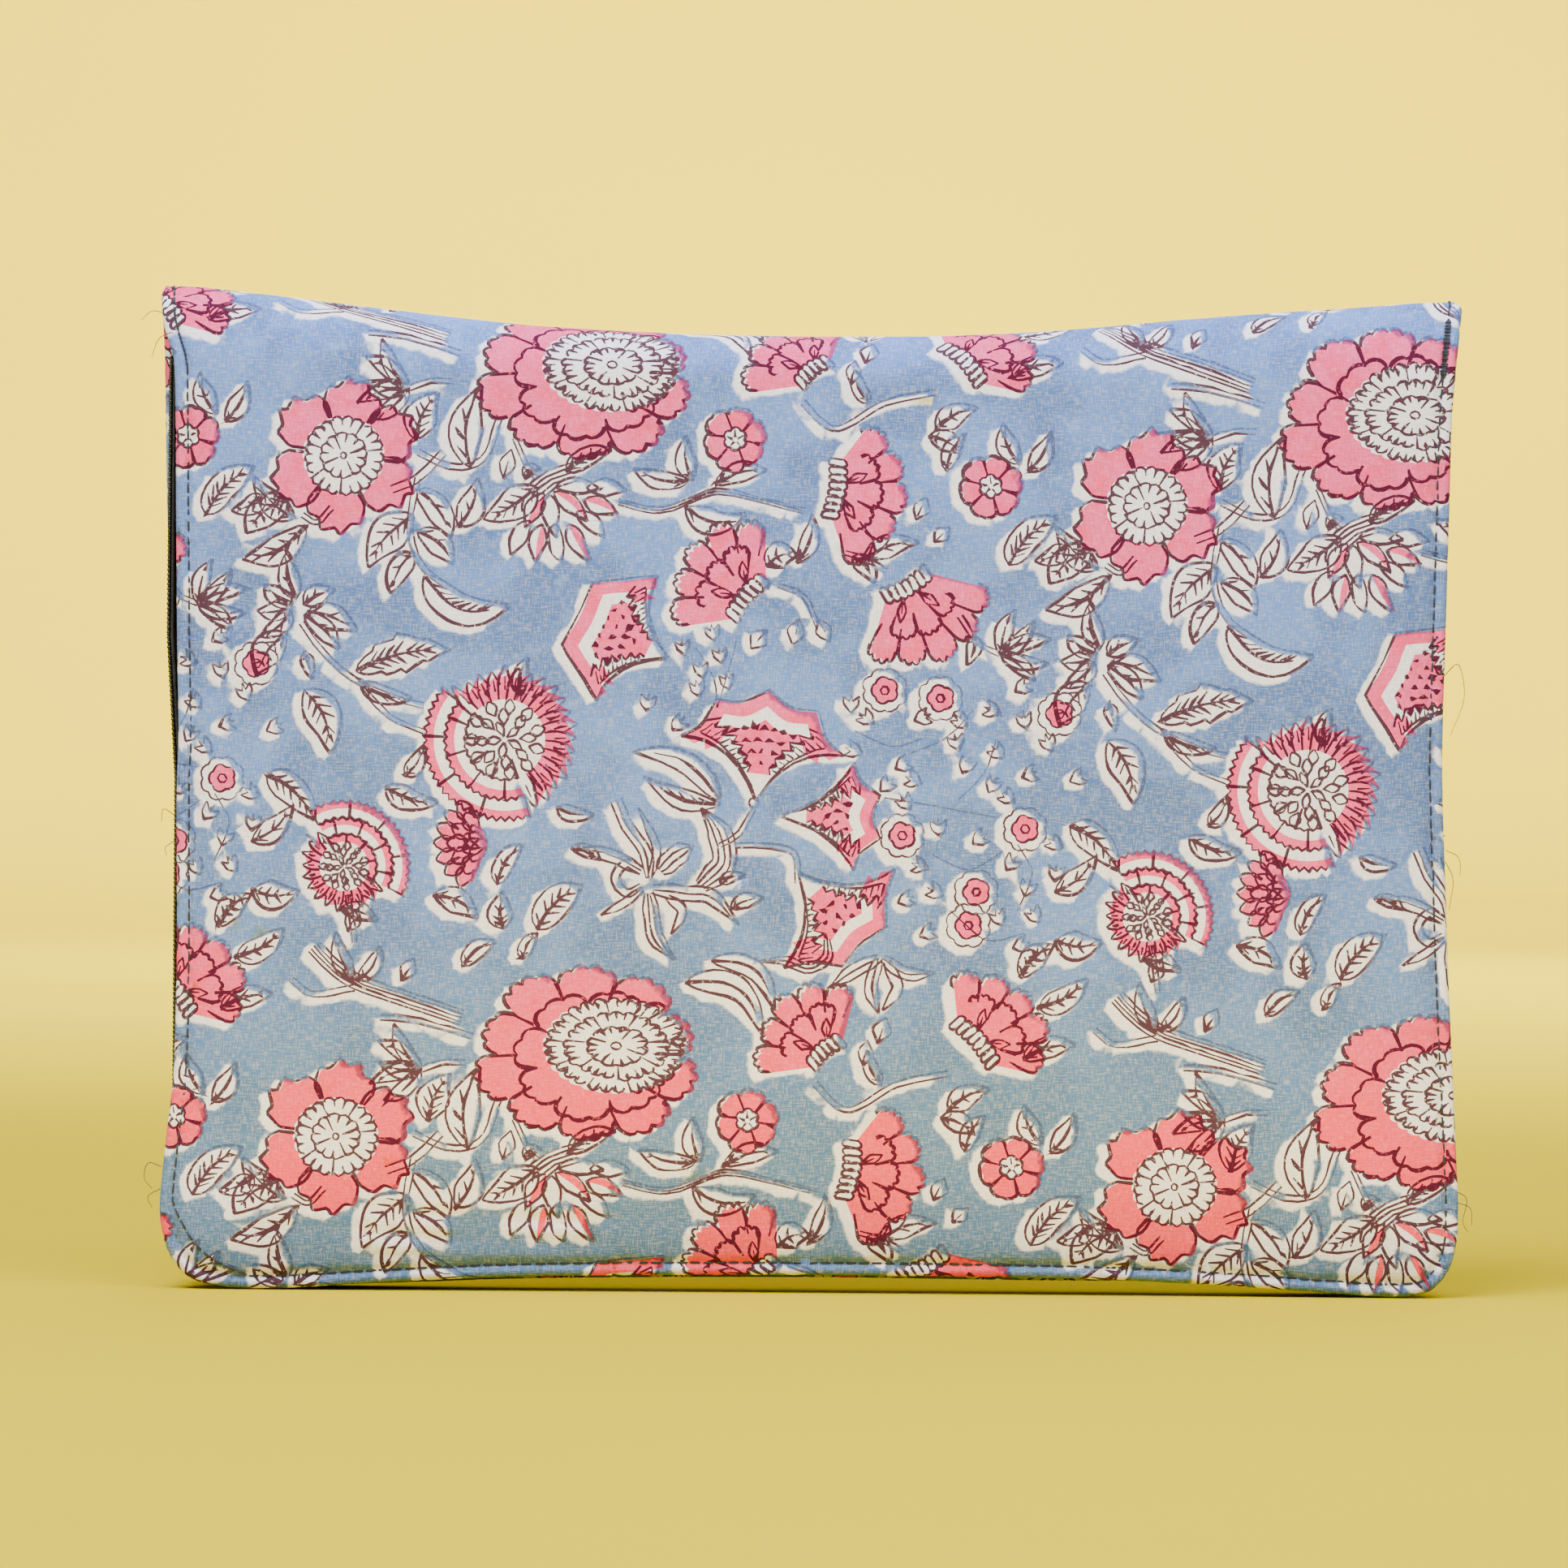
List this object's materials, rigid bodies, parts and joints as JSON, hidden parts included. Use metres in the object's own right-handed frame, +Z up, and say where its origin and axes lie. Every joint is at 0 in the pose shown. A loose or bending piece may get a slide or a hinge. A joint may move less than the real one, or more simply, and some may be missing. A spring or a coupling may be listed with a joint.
{
  "type": "laptop sleeve",
  "caption": "Padded cloth laptop sleeve with a floral print; folds along the top and zips round the other three sides, with a padded front panel that swings open.",
  "frame": {"origin": "middle of the lower zipped edge, on the surface that the sleeve stands on", "axes": "+X to the right across the width, +Z up the height towards the fold, the front panel faces -Y"},
  "size_m": [0.3524, 0.031, 0.2705],
  "materials": {
    "printed_cotton": "block-printed plain-weave cotton, matte",
    "foam": "closed-cell foam sheet",
    "black_lining": "plain woven lining",
    "zipper_tape": "herringbone woven tape",
    "nylon_coil": "nylon filament",
    "navy_thread": "polyester sewing thread",
    "dark_metal": "black enamelled die-cast zinc"
  },
  "bodies": {
    "back_panel": {"back_corner_tack_left": "navy_thread", "back_corner_tack_right": "navy_thread", "back_cover": "printed_cotton", "back_lining": "black_lining", "back_padding": "foam", "back_top_stop": "nylon_coil", "back_topstitch": "navy_thread", "back_zip_coil": "nylon_coil", "back_zip_tape": "zipper_tape", "bottom_stop": "nylon_coil", "sewn_corner_left": "printed_cotton", "sewn_corner_right": "printed_cotton"},
    "front_panel": {"front_corner_tack_left": "navy_thread", "front_corner_tack_right": "navy_thread", "front_cover": "printed_cotton", "front_lining": "black_lining", "front_padding": "foam", "front_top_stop": "nylon_coil", "front_topstitch": "navy_thread", "front_zip_coil": "nylon_coil", "front_zip_tape": "zipper_tape"},
    "zip_slider": {"slider_body": "dark_metal", "slider_crown": "dark_metal"},
    "zip_pull": {"pull_tab": "dark_metal"}
  },
  "joints": [
    {"name": "front_open", "type": "hinge", "parent": "back_panel", "child": "front_panel", "pos_m": [0, 0, 0.261], "axis": [-1, 0, 0], "range_deg": [0, 90]},
    {"name": "slider_run", "type": "slide", "parent": "back_panel", "child": "zip_slider", "axis": [0, 0, -1], "range_m": [0, 0.2]},
    {"name": "pull_swing", "type": "hinge", "parent": "zip_slider", "child": "zip_pull", "pos_m": [0.16985, 0, 0.2369], "axis": [0, -1, 0], "range_deg": [0, 150]}
  ]
}
